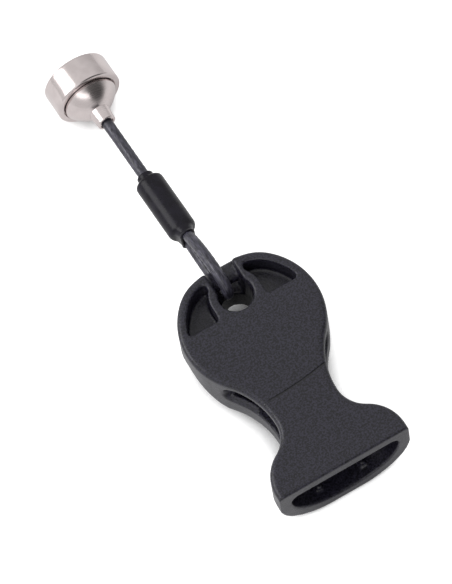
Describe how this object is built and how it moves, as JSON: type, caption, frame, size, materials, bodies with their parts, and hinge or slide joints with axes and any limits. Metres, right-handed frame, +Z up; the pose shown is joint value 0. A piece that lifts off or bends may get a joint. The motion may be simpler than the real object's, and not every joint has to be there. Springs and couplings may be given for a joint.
{
  "type": "magnetic cable tether",
  "caption": "Short steel cable tether with a swivelling magnet cup at one end and a moulded buckle socket grip, joined by an eye round its bar, at the other.",
  "frame": {"origin": "middle of the bounding box on the table, under the grip's head, with X = 0 on the grip's plane of symmetry", "axes": "+Y along the tether from the grip's hollow mouth to the magnet's face, +X across the grip, +Z up, away from its belly"},
  "size_m": [0.0374, 0.132, 0.0228],
  "materials": {
    "grip_nylon": "fine spark eroded texture",
    "cup_nickel": "turned and nickel plated",
    "bell_nickel": "turned and nickel plated",
    "cable_coating": "semi gloss, with the lay of the rope just showing",
    "rope_steel": "bright drawn wire",
    "ferrule_aluminium": "pressed",
    "shrink_black": "glossy heat shrink",
    "stop_steel": "swaged",
    "washer_nylon": "natural nylon",
    "plate_steel": "stamped",
    "magnet_plating": "nickel plated",
    "potting_resin": "cast resin"
  },
  "bodies": {
    "grip": {"socket_grip": "grip_nylon"},
    "tether": {"cable_jacket": "cable_coating", "cable_core": "rope_steel", "crimp_ferrule": "ferrule_aluminium", "shrink_sleeve": "shrink_black", "swivel_bell": "bell_nickel", "cable_end_stop": "stop_steel"},
    "magnet_head": {"magnet_cup": "cup_nickel", "bell_washer": "washer_nylon", "back_plate": "plate_steel", "magnet_disc": "magnet_plating", "potting_ring": "potting_resin"}
  },
  "joints": [
    {"name": "eye_pivot", "type": "hinge", "parent": "grip", "child": "tether", "pos_m": [-0.0012, -0.00597, 0.017], "axis": [0.9996, 0.0283, 0], "range_deg": [-8, 120]},
    {"name": "head_swivel", "type": "hinge", "parent": "tether", "child": "magnet_head", "pos_m": [-0.00275, 0.04894, 0.01039], "axis": [-0.0282, 0.9958, -0.0872], "continuous": true}
  ]
}
